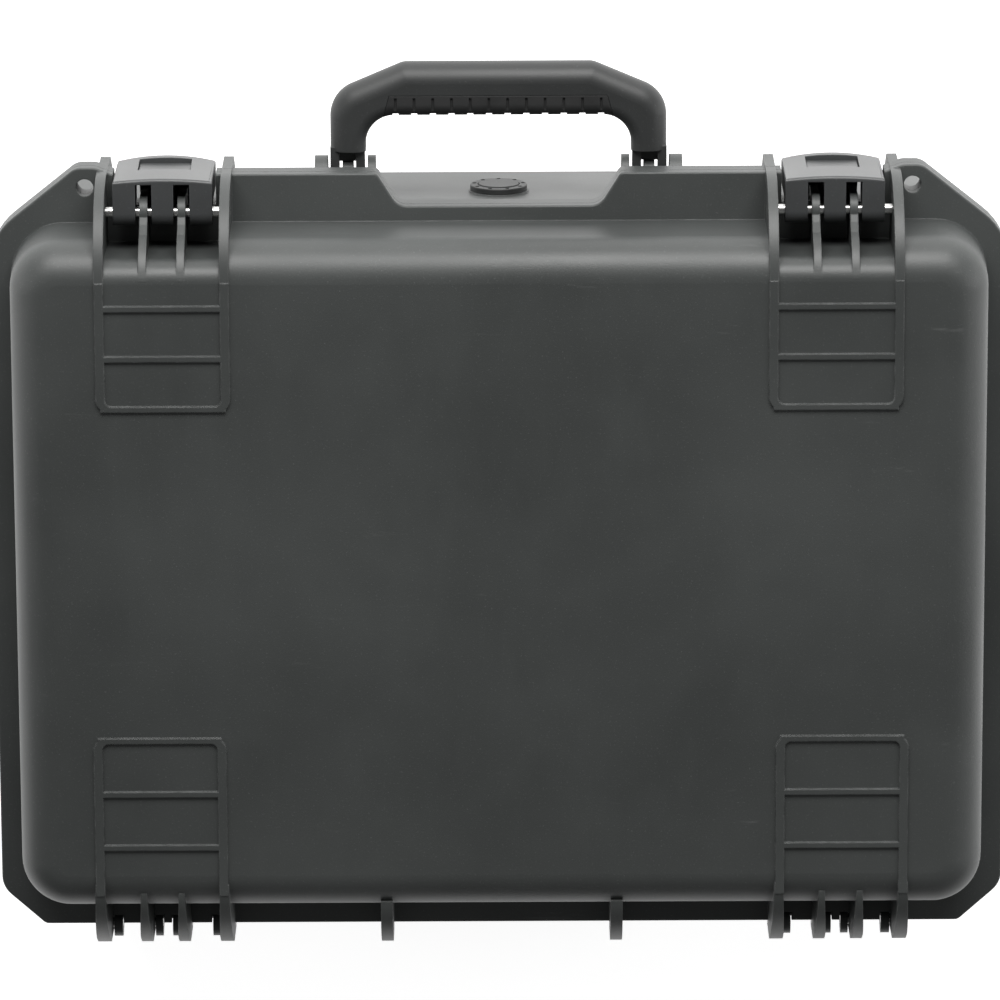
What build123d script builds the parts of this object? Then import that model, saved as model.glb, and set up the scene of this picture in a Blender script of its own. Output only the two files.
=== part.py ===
from build123d import *
import os
from math import cos, sin, tan, radians

# Moulded hard case with a lift-out tray. Millimetres and degrees.
# +Z is up with the case lying on its base, the handle and latches face -Y, the lid hinges at +Y,
# and the origin is the middle of the base's underside.

# ---- shells -------------------------------------------------------------------------------------
base_height = 118.0  # underside of the base to the top of its rim
lid_height = 52.0  # rim of the base to the lid's face
shell_width = 445.0  # outside of the side walls, at the rim
shell_depth = 320.0  # outside of the base's front and back walls, at the rim
wall = 4.0
draft = 2.0  # every wall leans in by this angle
corner_radius = 24.0  # upright corners of the shells, in plan
face_radius = 18.0  # round between the walls and the lid's face
foot_radius = 16.0  # round between the walls and the base's underside
lid_front_set_back = 3.5  # the lid's front wall stands this far behind the base's
parting_gap = 0.4  # between the two rims, held open by the seal

# ---- rims ---------------------------------------------------------------------------------------
rim_overhang_side = 10.5
rim_overhang_end = 18.5  # front and back
base_rim_thickness = 10.0
lid_rim_thickness = 5.1
rim_edge_radius = 0.8
front_corner_cut = 40.5  # width of the slanted front corner
front_corner_rise = 32.3
front_corner_blend = 31.0
back_corner_cut = 20.0
back_corner_rise = 18.0
back_corner_blend = 12.0
lock_boss_reach = 3.2  # padlock boss in front of the rim's edge
lock_boss_width = 9.0
lock_boss_slope = 8.0  # how far the boss takes to run out into the rim's edge
lock_boss_round = 8.0
lock_hole_radius = 4.0
lock_hole_x = 188.3
lock_hole_inset = 6.0  # hole centre behind the rim's front edge
scoop_half_width = 55.5
scoop_floor_half_width = 46.0
scoop_depth = 15.2
scoop_radius = 8.0

# ---- seal ---------------------------------------------------------------------------------------
seal_groove_width = 4.4
seal_groove_depth = 3.2
seal_width = 4.0
seal_thickness = 2.0
seal_gap = 0.3
tongue_width = 1.8
seal_inset = 1.6  # centreline of the seal, inside the base wall's outer face

# ---- latch bays ---------------------------------------------------------------------------------
latch_x = 152.0  # centre of a latch, either side of the middle
bay_side_gap = 0.9  # between a latch and the side of its bay
bay_lip = 4.5  # rim that is left in front of the base wall inside a bay
guard_stand_off = 2.6  # from the side of a bay to the guard rib beside it
guard_thickness = 4.6
guard_reach = 1.5  # guard ribs in front of the rim's edge
inner_rib_offset = 8.6
inner_rib_thickness = 3.6
inner_rib_hub_radius = 7.2
guard_run = 46.0  # from a guard rib's front to where it lands on the face
bay_pocket_depth = 9.0  # how far the lid's wall steps back behind a latch
bay_pocket_radius = 10.0
latch_axis_rise = 22.0  # latch pin above the top of the base
latch_axis_inset = 13.7  # latch pin behind the rim's front edge
latch_pin_radius = 2.35
running_clearance = 0.05
fixed_clearance = 0.01

# ---- latch --------------------------------------------------------------------------------------
latch_width = 45.0
latch_reach = 1.3  # outer face of a latch in front of the rim's edge
latch_crown = 1.2  # how far the outer face bows at its top
latch_foot_crown = 2.8  # and at its foot
latch_foot_drop = 20.0  # foot of a latch below the top of the base
latch_skin = 3.0
latch_cheek = 3.2
knuckle_radius = 6.0
slot_width = 7.4
slot_skin = 1.4
slot_bottom_rise = 8.0  # above the top of the base, like the next two rises
window_width = 24.0
window_bottom_drop = 14.0
window_top_rise = 8.0
button_gap = 0.35
button_top_gap = 1.05  # the pad tips up a little as it is pressed
button_edge_radius = 0.4
button_pin_radius = 1.5
button_pin_drop = 6.0  # below the top of the base
button_pin_inset = 4.6  # button pin behind the latch's outer face
button_hub_radius = 2.9
button_proud = 0.15
hook_top_gap = 0.4
hook_grip = 3.5  # how far the hook reaches under the rim
spring_radius = 2.5
spring_wire = 0.6
spring_turns = 5
spring_rise = 2.5  # above the top of the base

# ---- hinge --------------------------------------------------------------------------------------
hinge_x = 156.0
hinge_axis_reach = 1.0  # hinge axis behind the rim's back edge
hinge_knuckle_radius = 6.5
hinge_pin_radius = 2.35
hinge_rib_offsets = (-28.6, -8.7, 8.7, 28.6)
hinge_rib_thickness = (6.0, 5.0, 5.0, 6.0)
hinge_side_gap = 0.5
hinge_rib_start = 2.6  # width of an inner hinge rib where it leaves the face
base_knuckle_widths = (4.0, 3.4, 3.4, 4.0)
hinge_pin_overrun = 34.0  # half length of the bore through a row of knuckles
notch_clearance = 0.8
foot_rib_x = 53.0
foot_rib_thickness = 5.5
foot_rib_reach = 6.5
base_foot_drop = 12.0  # low enough for the lid's foot to swing past
hinge_web_drop = 48.0  # how far down the wall the web of a base knuckle starts
guard_foot_drop = 62.0
foot_rib_drop = 78.0

# ---- ribs on the lid's face ---------------------------------------------------------------------
ladder_height = 1.1
ladder_bar = 2.6
ladder_rail = 4.0
ladder_corner = 6.0
ladder_open = 12.0  # the rails run on this far past the last bar, with square ends
front_bars_y = (-126.5, -103.3, -80.0)
back_bars_y = (76.0, 101.5, 127.0)
stack_pocket_depth = 2.0
stack_pocket_margin = 1.5

# ---- handle -------------------------------------------------------------------------------------
handle_axis_y = -172.0
handle_axis_drop = 26.0  # below the top of the base
handle_half_width = 77.0
handle_top_y = -224.3
handle_flat_half = 43.5
handle_shoulder_y = -210.1
handle_shoulder_radius = 16.0
handle_inner_half = 60.7
handle_inner_top_y = -200.2
handle_inner_radius = 13.0
handle_leg_end_y = -183.6
handle_thickness = 19.0
handle_outer_round = 9.0
handle_inner_round = 5.5
handle_x = 70.0  # centre of each leg's fork
grip_half_length = 50.0
grip_seam_y = -210.0
grip_notches = 12
grip_notch_pitch = 8.55
grip_notch_width = 2.8
grip_notch_depth = 1.3
grip_groove_width = 1.2
grip_groove_depth = 0.8
tine_radius = 6.4
tine_thickness = 4.0
tine_offsets = (-6.7, 5.0)
post_offset = -1.0
post_thickness = 5.0
post_inset = 1.5  # a post's eye is smaller than an ear's by this much
post_gap = 0.8  # between a post's eye and the bottom of the handle's fork
ear_offsets = (-11.9, 11.2)
ear_thickness = (3.7, 6.0)
ear_radius = 8.6
ear_drop = 18.0  # how far an ear's root reaches down the wall
post_drop = 6.0  # less, so that the folded handle clears it
handle_pin_radius = 2.5

# ---- purge valve --------------------------------------------------------------------------------
valve_drop = 51.0  # below the top of the base
valve_radius = 13.2
valve_flange = 2.6
valve_notches = 9
valve_notch_radius = 1.05
valve_notch_inset = 1.75
valve_edge_radius = 0.5
valve_spigot_radius = 8.0
valve_pad_radius = 14.0
valve_pad_reach = 0.9
valve_nut_thickness = 5.0

# ---- inside -------------------------------------------------------------------------------------
floor_foam_thickness = 8.0
lid_foam_thickness = 14.0
ledge_drop = 14.0  # below the top of the base
ledge_end_x = 120.0  # ledge ribs on the front and back walls
ledge_side_y = 80.0  # and on the side walls
rim_web_y = (-90.0, -30.0, 30.0, 90.0)
rim_web_thickness = 3.0
ledge_reach = 9.0
ledge_width = 12.0
tray_gap = 0.3
tray_half_width = 213.5
tray_half_depth = 150.5
tray_rim = 8.5
tray_rim_thickness = 2.6
tray_depth = 44.0
tray_wall = 2.2
tray_corner = 18.0
tray_front_well = 84.0
tray_grip_height = 9.0
tray_grip_half = 55.0
tray_grip_slot = 17.0
tray_partition = 2.8
tray_crest_half = 4.0
tray_bays = 3
divider_thickness = 2.0
divider_gap = 0.2

# ---- worked out ---------------------------------------------------------------------------------
half_width = shell_width / 2
half_depth = shell_depth / 2
rim_half_width = half_width + rim_overhang_side
rim_front = -half_depth - rim_overhang_end
rim_back = half_depth + rim_overhang_end
lid_rim_z = base_height + parting_gap
face_z = base_height + lid_height
bay_front = -half_depth - bay_lip
latch_axis_y = rim_front + latch_axis_inset
latch_axis_z = base_height + latch_axis_rise
latch_bottom_z = base_height - latch_foot_drop
slot_bottom_z = base_height + slot_bottom_rise
window_bottom_z = base_height - window_bottom_drop
window_top_z = base_height + window_top_rise
button_pin_z = base_height - button_pin_drop
spring_z = base_height + spring_rise
base_foot_top_z = base_height - base_foot_drop
handle_axis_z = base_height - handle_axis_drop
valve_z = base_height - valve_drop
ledge_z = base_height - ledge_drop
bay_half_width = latch_width / 2 + bay_side_gap
bay_pocket_half_width = bay_half_width + guard_stand_off
guard_offset = bay_pocket_half_width + guard_thickness / 2
latch_face_y = rim_front - latch_reach
latch_top_z = latch_axis_z + knuckle_radius
button_pin_y = latch_face_y + button_pin_inset
hinge_axis_y = rim_back + hinge_axis_reach
hinge_axis_z = base_height + parting_gap / 2
base_rim_under = base_height - base_rim_thickness
lean = tan(radians(draft))
SIDES = {"left": -1, "right": 1}


def box(x, y, z):
    """A box from its low and high values along each axis."""
    size = [b - a for a, b in (x, y, z)]
    middle = [(a + b) / 2 for a, b in (x, y, z)]
    return Pos(*middle) * Box(*size)


def rod(radius, x, y, z):
    """A round bar along X between two values of x."""
    return Pos((x[0] + x[1]) / 2, y, z) * Rot(0, 90, 0) * Cylinder(radius, x[1] - x[0])


def disc(radius, x, y, z):
    """A round bar along Y between two values of y."""
    return Pos(x, (y[0] + y[1]) / 2, z) * Rot(90, 0, 0) * Cylinder(radius, y[1] - y[0])


def plate(sketch, x, thickness):
    """A flat plate across X, from an outline drawn in Y and Z."""
    return extrude(Plane.YZ.offset(x) * sketch, thickness / 2, both=True)


def tapering(rib, x, narrow, thickness, plan_y, round_end=True):
    """Thins a rib, seen from above. plan_y says where it starts, where it is full, and where it ends."""
    start, full, end = plan_y
    outline = make_face(Polyline(
        (x - narrow / 2, start), (x - thickness / 2, full),
        (x + thickness / 2, full), (x + narrow / 2, start), close=True,
    ))
    last = end - thickness / 2 if round_end else end
    outline += Pos(x, (full + last) / 2) * Rectangle(thickness, abs(last - full))
    if round_end:
        outline += Pos(x, last) * Circle(thickness / 2)
    return rib & extrude(outline, face_z + wall)


def rounded_rectangle(x, y, radius):
    """A rounded rectangle in plan, from its low and high values."""
    middle = Pos((x[0] + x[1]) / 2, (y[0] + y[1]) / 2)
    return middle * RectangleRounded(x[1] - x[0], y[1] - y[0], radius)


def tub(x, y, radius, z_rim, height, up, edge):
    """A drafted block that narrows away from its rim, with a rounded far edge."""
    outline = Pos(0, 0, z_rim) * rounded_rectangle(x, y, radius)
    direction = (0, 0, 1 if up else -1)
    block = extrude(outline, height, dir=direction, taper=draft)
    far = block.edges().group_by(Axis.Z)[-1 if up else 0]
    return fillet(far, edge)


def bar(x, y, z, radius):
    """A box whose long edges along X are rounded."""
    block = box(x, y, z)
    return fillet(block.edges().filter_by(Axis.X), radius)


# ---- rims ---------------------------------------------------------------------------------------
def rim_outline():
    """The outline of both rims: padlock bosses, slanted corners and the finger scoop."""
    boss_y = rim_front - lock_boss_reach
    boss_x = rim_half_width - front_corner_cut
    scoop_y = rim_front + scoop_depth
    half = [
        (scoop_floor_half_width, scoop_y, scoop_radius),
        (scoop_half_width, rim_front, 3.0),
        (boss_x - lock_boss_width - lock_boss_slope, rim_front, lock_boss_round),
        (boss_x - lock_boss_width, boss_y, lock_boss_round),
        (boss_x, boss_y, lock_boss_round),
        (rim_half_width, boss_y + front_corner_rise, front_corner_blend),
        (rim_half_width, rim_back - back_corner_rise, back_corner_blend),
        (rim_half_width - back_corner_cut, rim_back, 4.0),
    ]
    points = [(0, scoop_y)] + [(x, y) for x, y, _ in half] + [(0, rim_back)]
    radii = [r for _, _, r in half]
    edge = FilletPolyline(*points, radius=radii)
    right = make_face([*edge.edges(), Line((0, rim_back), (0, scoop_y))])
    return right + mirror(right, Plane.YZ)


def rim_plate(z, thickness, outer_up):
    """One rim, with its outer edge eased on the side away from the parting plane."""
    block = extrude(Pos(0, 0, z) * rim_outline(), thickness)
    eased = block.edges().group_by(Axis.Z)[-1 if outer_up else 0]
    return fillet(eased, rim_edge_radius)


def bay_cuts(z):
    """What is taken out of a rim in the two latch bays."""
    y = (rim_front - 9, bay_front)
    return [box((x - bay_half_width, x + bay_half_width), y, z) for x in (-latch_x, latch_x)]


def padlock_holes(z):
    y = rim_front + lock_hole_inset
    drill = Cylinder(lock_hole_radius, z[1] - z[0])
    return [Pos(x, y, (z[0] + z[1]) / 2) * drill for x in (-lock_hole_x, lock_hole_x)]


def hinge_notches(offsets, widths):
    """Round clearances in one rim for the other half's knuckles."""
    radius = hinge_knuckle_radius + notch_clearance
    cuts = []
    for side in SIDES.values():
        for offset, width in zip(offsets, widths):
            x = side * hinge_x + offset
            reach = width / 2 + hinge_side_gap
            cuts.append(rod(radius, (x - reach, x + reach), hinge_axis_y, hinge_axis_z))
    return cuts


def base_knuckle_offsets():
    """The base has a knuckle beside each of the lid's, on the side that faces the middle of the hinge."""
    offsets = []
    for offset, lid_width, width in zip(hinge_rib_offsets, hinge_rib_thickness, base_knuckle_widths):
        step = lid_width / 2 + hinge_side_gap + width / 2
        offsets.append(offset - step if offset > 0 else offset + step)
    return offsets


def quarter_rib(landing, top, outer, low):
    """The outline of a rib that curves from a landing on the face out and down to its outer edge."""
    way = 1 if outer > landing else -1
    curve = EllipticalCenterArc(
        (landing, low), abs(outer - landing), top - low, start_angle=0 if way > 0 else 90, arc_size=90
    )
    inner = landing - way * 8
    rest = Polyline((landing, top), (inner, top), (inner, low), (outer, low))
    return make_face([*curve.edges(), *rest.edges()])


# ---- lid ----------------------------------------------------------------------------------------
def lid_front_y():
    return -half_depth + lid_front_set_back


def guard_rib_lid():
    """A lid guard rib beside a latch, curving from the rim's edge onto the face."""
    front = rim_front - guard_reach
    straight_z = lid_rim_z + 10
    curved = quarter_rib(front + guard_run, face_z + ladder_height, front, straight_z)
    rise = straight_z - lid_rim_z
    return curved + Pos(front + guard_run / 2, lid_rim_z + rise / 2) * Rectangle(guard_run, rise)


def guard_rib(x):
    """A lid guard rib, as wide as the ladder's rail where it lands on the face."""
    tip = rim_front - guard_reach
    plan_y = (tip + guard_run + 1, tip + guard_run / 2, tip - 1)
    rib = plate(guard_rib_lid(), x, guard_thickness)
    return tapering(rib, x, ladder_rail, guard_thickness, plan_y, round_end=False)


def inner_rib_lid():
    """A rib in a latch's slot that carries the latch pin and runs back over the pocket onto the face."""
    hub = Pos(latch_axis_y, latch_axis_z) * Circle(inner_rib_hub_radius)
    wall_y = lid_front_y() + bay_pocket_depth + wall / 2
    landing = wall_y + 6.5
    landing_z = face_z - 0.05
    shoulder = (lid_front_y() - 0.5, latch_axis_z + 14)
    crest = ThreePointArc(shoulder, (wall_y - 1, face_z - 3.2), (landing, landing_z))
    rest = Polyline(
        (landing, landing_z), (landing, face_z - wall / 2), (wall_y + 5, face_z - wall / 2),
        (wall_y, face_z - 12), (wall_y, lid_rim_z + 1), (latch_axis_y - 7, lid_rim_z + 1),
        (latch_axis_y - inner_rib_hub_radius, latch_axis_z),
        (latch_axis_y + 4, latch_axis_z + 9.5), shoulder,
    )
    return make_face([*crest.edges(), *rest.edges()]) + hub


def bay_pocket(x):
    """What is taken out of the lid's front behind a latch, down to the rim."""
    span = (x - bay_pocket_half_width, x + bay_pocket_half_width)
    back = lid_front_y() + bay_pocket_depth
    floor = lid_rim_z + lid_rim_thickness
    cut = box(span, (rim_front - 9, back + bay_pocket_radius), (floor, face_z + 1))
    kept = box((span[0] - 1, span[1] + 1), (back, back + 40), (floor - 1, face_z))
    crest = kept.edges().filter_by(Axis.X).group_by(Axis.Z)[-1].sort_by(Axis.Y)[0]
    return cut - fillet(crest, bay_pocket_radius)


def bay_wall(x):
    """The space inside the lid that the wall behind a latch takes up."""
    half = bay_pocket_half_width + wall
    back = lid_front_y() + bay_pocket_depth + wall
    return box((x - half, x + half), (lid_front_y(), back), (lid_rim_z, face_z))


def ladder(x, bars_y):
    """A raised frame of two rails and three bars on the lid's face, rounded at its inner end."""
    inner_end = bars_y[2] if bars_y[0] < 0 else bars_y[0]
    outer_end = -half_depth + 24 if bars_y[0] < 0 else half_depth - 12
    low, high = sorted((inner_end, outer_end))
    half = guard_offset + ladder_rail / 2
    end_pad = ladder_bar / 2
    frame = rounded_rectangle((x - half, x + half), (low - end_pad, high + end_pad), ladder_corner)
    frame -= rounded_rectangle(
        (x - half + ladder_rail, x + half - ladder_rail),
        (low + end_pad, high - end_pad),
        ladder_corner - ladder_rail + 1,
    )
    outward = 1 if bars_y[0] > 0 else -1
    open_y = outer_end - outward * (ladder_open - end_pad) / 2
    frame -= Pos(x, open_y) * Rectangle(2 * half + 2, ladder_open + end_pad)
    for rail_x in (x - half + ladder_rail / 2, x + half - ladder_rail / 2):
        frame += Pos(rail_x, open_y) * Rectangle(ladder_rail, ladder_open + end_pad + 2)
    for y in bars_y:
        frame += Pos(x, y) * Rectangle(2 * half - ladder_rail, ladder_bar)
    return extrude(Pos(0, 0, face_z - 1.5) * frame, ladder_height + 1.5)


def hinge_knuckle():
    return Pos(hinge_axis_y, hinge_axis_z) * Circle(hinge_knuckle_radius)


def hinge_rib_end():
    return hinge_axis_y + hinge_knuckle_radius


def lid_hinge_rib(landing, top):
    return quarter_rib(landing, top, hinge_rib_end() - 0.5, lid_rim_z) + hinge_knuckle()


def lid_hinge_ribs(side):
    """Four ribs a side. The outer pair runs on from the ladder's rails, the inner pair starts lower."""
    ribs = []
    for offset, thick in zip(hinge_rib_offsets, hinge_rib_thickness):
        if offset in (hinge_rib_offsets[0], hinge_rib_offsets[-1]):
            landing, top, narrow = half_depth - 14, face_z + ladder_height, ladder_rail
        else:
            landing, top, narrow = half_depth - 9, face_z - 2.3, hinge_rib_start
        x = side * hinge_x + offset
        rib = plate(lid_hinge_rib(landing, top), x, thick)
        ribs.append(tapering(rib, x, narrow, thick, (landing - 1, rim_back - 4, hinge_rib_end())))
    return ribs


def foot_rib_lid():
    """A standing foot on the lid's hinge side."""
    return quarter_rib(half_depth - 4, face_z - 5, rim_back + foot_rib_reach, lid_rim_z + 3)


def lid_foot(x):
    rib = plate(foot_rib_lid(), x, foot_rib_thickness)
    plan_y = (half_depth - 5, half_depth, rim_back + foot_rib_reach)
    return tapering(rib, x, foot_rib_thickness, foot_rib_thickness, plan_y)


def seal_track(width):
    """The seal's closed path, as a band of the given width in plan."""
    middle_x = half_width - seal_inset
    middle_y = half_depth - seal_inset
    radius = corner_radius - seal_inset
    w = width / 2
    outer = RectangleRounded(2 * (middle_x + w), 2 * (middle_y + w), radius + w)
    inner = RectangleRounded(2 * (middle_x - w), 2 * (middle_y - w), radius - w)
    return outer - inner


def lid_shell():
    front = lid_front_y()
    height = face_z - lid_rim_z
    x = (-half_width, half_width)
    y = (front, half_depth)
    outer = tub(x, y, corner_radius, lid_rim_z, height, True, face_radius)
    lid = outer + rim_plate(lid_rim_z, lid_rim_thickness, True)
    lid -= bay_cuts((lid_rim_z - 1, lid_rim_z + lid_rim_thickness + 1))
    ribs = []
    for side in SIDES.values():
        centre = side * latch_x
        lid -= bay_pocket(centre)
        for way in (-1, 1):
            ribs.append(guard_rib(centre + way * guard_offset))
            ribs.append(plate(inner_rib_lid(), centre + way * inner_rib_offset, inner_rib_thickness))
        ribs.append(ladder(centre, front_bars_y))
        ribs.append(ladder(side * hinge_x, back_bars_y))
        ribs += lid_hinge_ribs(side)
        ribs.append(lid_foot(side * foot_rib_x))
    lid += ribs
    cavity = tub(
        (x[0] + wall, x[1] - wall),
        (y[0] + wall, y[1] - wall),
        corner_radius - wall,
        lid_rim_z,
        height - wall,
        True,
        face_radius - wall,
    )
    for side in SIDES.values():
        cavity -= bay_wall(side * latch_x)
    lid -= cavity
    lid -= extrude(Pos(0, 0, lid_rim_z) * seal_track(seal_groove_width), seal_groove_depth)
    lid -= hinge_notches(base_knuckle_offsets(), base_knuckle_widths)
    lid -= padlock_holes((lid_rim_z - 1, lid_rim_z + lid_rim_thickness + 1))
    drill = guard_offset + guard_thickness
    for side in SIDES.values():
        span = (side * latch_x - drill, side * latch_x + drill)
        lid -= rod(latch_pin_radius + fixed_clearance, span, latch_axis_y, latch_axis_z)
        span = (side * hinge_x - hinge_pin_overrun, side * hinge_x + hinge_pin_overrun)
        lid -= rod(hinge_pin_radius + running_clearance, span, hinge_axis_y, hinge_axis_z)
    return lid


def lid_seal():
    z = lid_rim_z + seal_groove_depth - seal_thickness
    return extrude(Pos(0, 0, z) * seal_track(seal_width), seal_thickness)


# ---- base ---------------------------------------------------------------------------------------
def guard_rib_base():
    """A base guard rib beside a latch: full reach beside the latch, then sloping into the wall."""
    front = rim_front - guard_reach
    points = Polyline(
        (-half_depth + 8, base_height), (front, base_height), (front, latch_bottom_z - 8),
        (-half_depth + 1, base_height - guard_foot_drop), (-half_depth + 8, base_height - guard_foot_drop),
        close=True,
    )
    return make_face(points)


def base_hinge_rib():
    foot_z = base_height - hinge_web_drop
    back = half_depth - 2.5
    root = Pos(back - wall, (foot_z + base_rim_under) / 2) * Rectangle(2 * wall, base_rim_under - foot_z)
    web = make_hull([*hinge_knuckle().edges(), *root.edges()])
    below = Pos(hinge_axis_y, base_height / 2) * Rectangle(200, base_height)
    return hinge_knuckle() + (web & below)


def foot_rib_base():
    """A standing foot on the base's hinge side, under the lid's own foot."""
    outer = rim_back + foot_rib_reach
    high = base_foot_top_z
    low = base_height - foot_rib_drop
    points = Polyline(
        (half_depth - 8, high), (outer - 2, high), (outer, high - 3), (outer, high - 18),
        (half_depth - 3, low), (half_depth - 8, low), close=True,
    )
    return make_face(points)


def gusset():
    """A small web under the rim of an end wall, drawn in X and Z."""
    points = Polyline(
        (half_width - 6, base_rim_under + 2), (rim_half_width - 2, base_rim_under + 2),
        (rim_half_width - 2.5, base_rim_under), (half_width - 1.2, base_rim_under - 26),
        (half_width - 6, base_rim_under - 26), close=True,
    )
    return make_face(points)


def ear(reach_radius, drop):
    """A plate that carries a handle pin out from the base's front wall."""
    eye = Pos(handle_axis_y, handle_axis_z) * Circle(reach_radius)
    foot = make_face(Polyline(
        (-half_depth + 6, handle_axis_z - drop), (-half_depth + 2, handle_axis_z - drop),
        (-half_depth + 2, handle_axis_z + 14), (-half_depth + 6, handle_axis_z + 14), close=True,
    ))
    return make_hull([*eye.edges(), *foot.edges()])


def handle_mounts():
    """Two ears and a post at each end of the handle."""
    plates = []
    for side in SIDES.values():
        for offset, thick in zip(ear_offsets, ear_thickness):
            plates.append(plate(ear(ear_radius, ear_drop), side * (handle_x + offset), thick))
        post = ear(ear_radius - post_inset, post_drop)
        plates.append(plate(post, side * (handle_x + post_offset), post_thickness))
    return plates


def inner_wall(z):
    """How far the inside faces of the base stand from the middle at a height: across, then deep."""
    shrink = (base_height - z) * lean + wall
    return half_width - shrink, half_depth - shrink


def ledge_posts():
    """Ribs down the inside walls whose tops carry the tray's rim."""
    across, deep = inner_wall(ledge_z)
    w = ledge_width / 2
    low = wall - 1
    posts = []
    for side in (-1, 1):
        for x in (-ledge_end_x, ledge_end_x):
            y = sorted((side * (deep - ledge_reach), side * (deep + 1.5)))
            posts.append(box((x - w, x + w), y, (low, ledge_z)))
        for y0 in (-ledge_side_y, ledge_side_y):
            x = sorted((side * (across - ledge_reach), side * (across + 1.5)))
            posts.append(box(x, (y0 - w, y0 + w), (low, ledge_z)))
    return posts


def valve_wall_y():
    """Outer face of the base's front wall at the valve's height."""
    return -half_depth + (base_height - valve_z) * lean


def valve_seat_y():
    return valve_wall_y() - valve_pad_reach


def base_shell():
    x = (-half_width, half_width)
    y = (-half_depth, half_depth)
    base = tub(x, y, corner_radius, base_height, base_height, False, foot_radius)
    base += rim_plate(base_rim_under, base_rim_thickness, False)
    base -= bay_cuts((base_rim_under - 1, base_height + 1))
    ribs = handle_mounts()
    for side in SIDES.values():
        centre = side * latch_x
        ribs += [plate(guard_rib_base(), centre + o, guard_thickness) for o in (-guard_offset, guard_offset)]
        for offset, thick in zip(base_knuckle_offsets(), base_knuckle_widths):
            ribs.append(plate(base_hinge_rib(), side * hinge_x + offset, thick))
        ribs.append(plate(foot_rib_base(), side * foot_rib_x, foot_rib_thickness))
        for web_y in rim_web_y:
            web = extrude(Plane.XZ.offset(-web_y) * gusset(), rim_web_thickness / 2, both=True)
            ribs.append(web if side > 0 else mirror(web, Plane.YZ))
    ribs.append(disc(valve_pad_radius, 0, (valve_seat_y(), valve_wall_y() + 2), valve_z))
    base += ribs
    base -= tub(
        (x[0] + wall, x[1] - wall),
        (y[0] + wall, y[1] - wall),
        corner_radius - wall,
        base_height,
        base_height - wall,
        False,
        foot_radius - wall,
    )
    outside = tub(x, y, corner_radius, base_height, base_height, False, foot_radius)
    base += [post & outside for post in ledge_posts()]
    tongue = extrude(Pos(0, 0, base_height - 0.5) * seal_track(tongue_width), 0.5 + tongue_height())
    base += tongue
    knuckle_cuts = hinge_notches(hinge_rib_offsets, hinge_rib_thickness)
    base -= knuckle_cuts
    base -= padlock_holes((base_rim_under - 1, base_height + 1))
    for side in SIDES.values():
        span = (side * hinge_x - hinge_pin_overrun, side * hinge_x + hinge_pin_overrun)
        base -= rod(hinge_pin_radius + fixed_clearance, span, hinge_axis_y, hinge_axis_z)
        span = (side * handle_x - 16, side * handle_x + 16)
        base -= rod(handle_pin_radius + fixed_clearance, span, handle_axis_y, handle_axis_z)
        for bars, centre in ((front_bars_y, latch_x), (back_bars_y, hinge_x)):
            half = guard_offset + ladder_rail / 2 + stack_pocket_margin
            low, high = min(bars) - stack_pocket_margin - 2, max(bars) + stack_pocket_margin + 2
            across = (side * centre - half, side * centre + half)
            pocket = rounded_rectangle(across, (low, high), ladder_corner)
            base -= extrude(Pos(0, 0, -1) * pocket, stack_pocket_depth + 1)
    base -= disc(valve_spigot_radius + 0.1, 0, (-half_depth - 4, -half_depth + 14), valve_z)
    return base


def tongue_height():
    """The tongue stops just short of the seal's lower face."""
    return parting_gap + seal_groove_depth - seal_thickness - seal_gap


# ---- hinge and pins -----------------------------------------------------------------------------
def hinge_pins(side):
    """One short pin through each pair of knuckles."""
    pairs = zip(hinge_rib_offsets, hinge_rib_thickness, base_knuckle_offsets(), base_knuckle_widths)
    pins = []
    for lid_x, lid_width, base_x, base_width in pairs:
        low = min(lid_x - lid_width / 2, base_x - base_width / 2)
        high = max(lid_x + lid_width / 2, base_x + base_width / 2)
        span = (side * hinge_x + low, side * hinge_x + high)
        pins.append(chamfer(rod(hinge_pin_radius, span, hinge_axis_y, hinge_axis_z).edges(), 0.4))
    return pins


def latch_pin(side):
    reach = guard_offset + guard_thickness / 2
    centre = side * latch_x
    pin = rod(latch_pin_radius, (centre - reach, centre + reach), latch_axis_y, latch_axis_z)
    return chamfer(pin.edges(), 0.3)


def handle_pin(side):
    low = handle_x + ear_offsets[0] - ear_thickness[0] / 2
    high = handle_x + ear_offsets[1] + ear_thickness[1] / 2
    x = sorted((side * low, side * high))
    pin = rod(handle_pin_radius, x, handle_axis_y, handle_axis_z)
    return chamfer(pin.edges(), 0.4)


# ---- latch --------------------------------------------------------------------------------------
def crowned(x, half, crown, back_y, z):
    """A level section of a latch whose front bows out by the crown at its middle."""
    face_y = latch_face_y
    front = ThreePointArc((x - half, face_y), (x, face_y - crown), (x + half, face_y))
    rest = Polyline((x + half, face_y), (x + half, back_y), (x - half, back_y), (x - half, face_y))
    return Pos(0, 0, z) * make_face([*front.edges(), *rest.edges()])


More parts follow.
